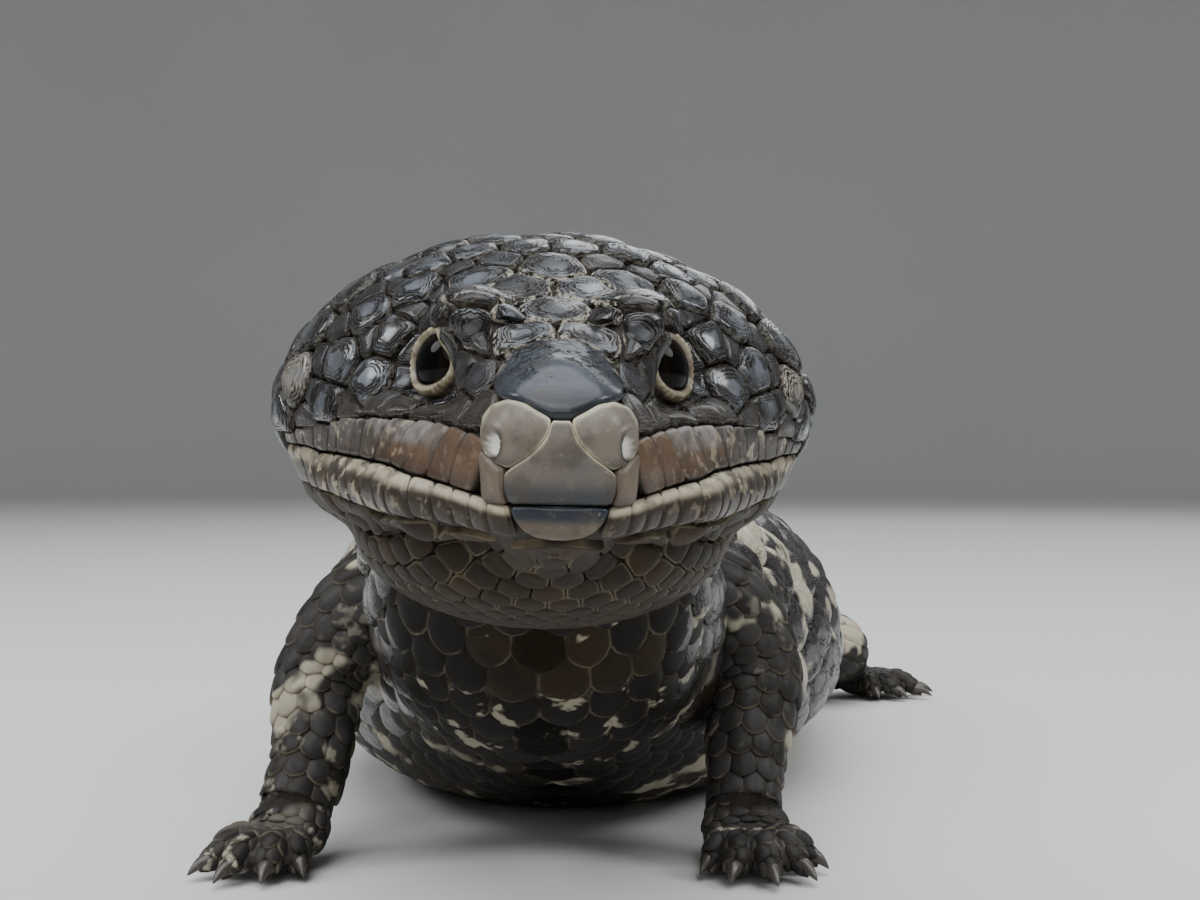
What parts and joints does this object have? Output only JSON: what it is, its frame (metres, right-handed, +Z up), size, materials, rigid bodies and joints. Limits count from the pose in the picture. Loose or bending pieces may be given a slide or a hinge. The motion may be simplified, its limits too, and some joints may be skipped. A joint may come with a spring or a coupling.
{
  "type": "shingleback skink",
  "caption": "Still life-size model of a shingleback, a short-legged, stump-tailed blue-tongued skink with raised pine-cone scales, standing on its front feet with its belly resting behind.",
  "frame": {"origin": "On the floor, in the middle of the flat under the belly.", "axes": "+Z up, -Y the way the animal faces, +X its left side."},
  "size_m": [0.1396, 0.3653, 0.0772],
  "materials": {
    "skin": "horny scales, dark brown-black with cream blotches, satin to glossy",
    "scute": "thick ridged scales with a worn satin gloss",
    "lip": "smooth cream and tan lip scales",
    "eye": "wet black eyeball",
    "eardrum": "thin dull membrane",
    "claw": "horn, grey-brown, satin"
  },
  "bodies": {
    "root": {"head": "skin", "lower_jaw": "skin", "eye_left": "eye", "eye_right": "eye", "ear_left": "eardrum", "ear_right": "eardrum", "neck": "skin", "torso_front": "skin", "torso_rear": "skin", "tail": "skin", "foreleg_left": "skin", "foreleg_right": "skin", "forefoot_left": "skin", "forefoot_right": "skin", "hindleg_left": "skin", "hindleg_right": "skin", "hindfoot_left": "skin", "hindfoot_right": "skin"}
  },
  "joints": []
}
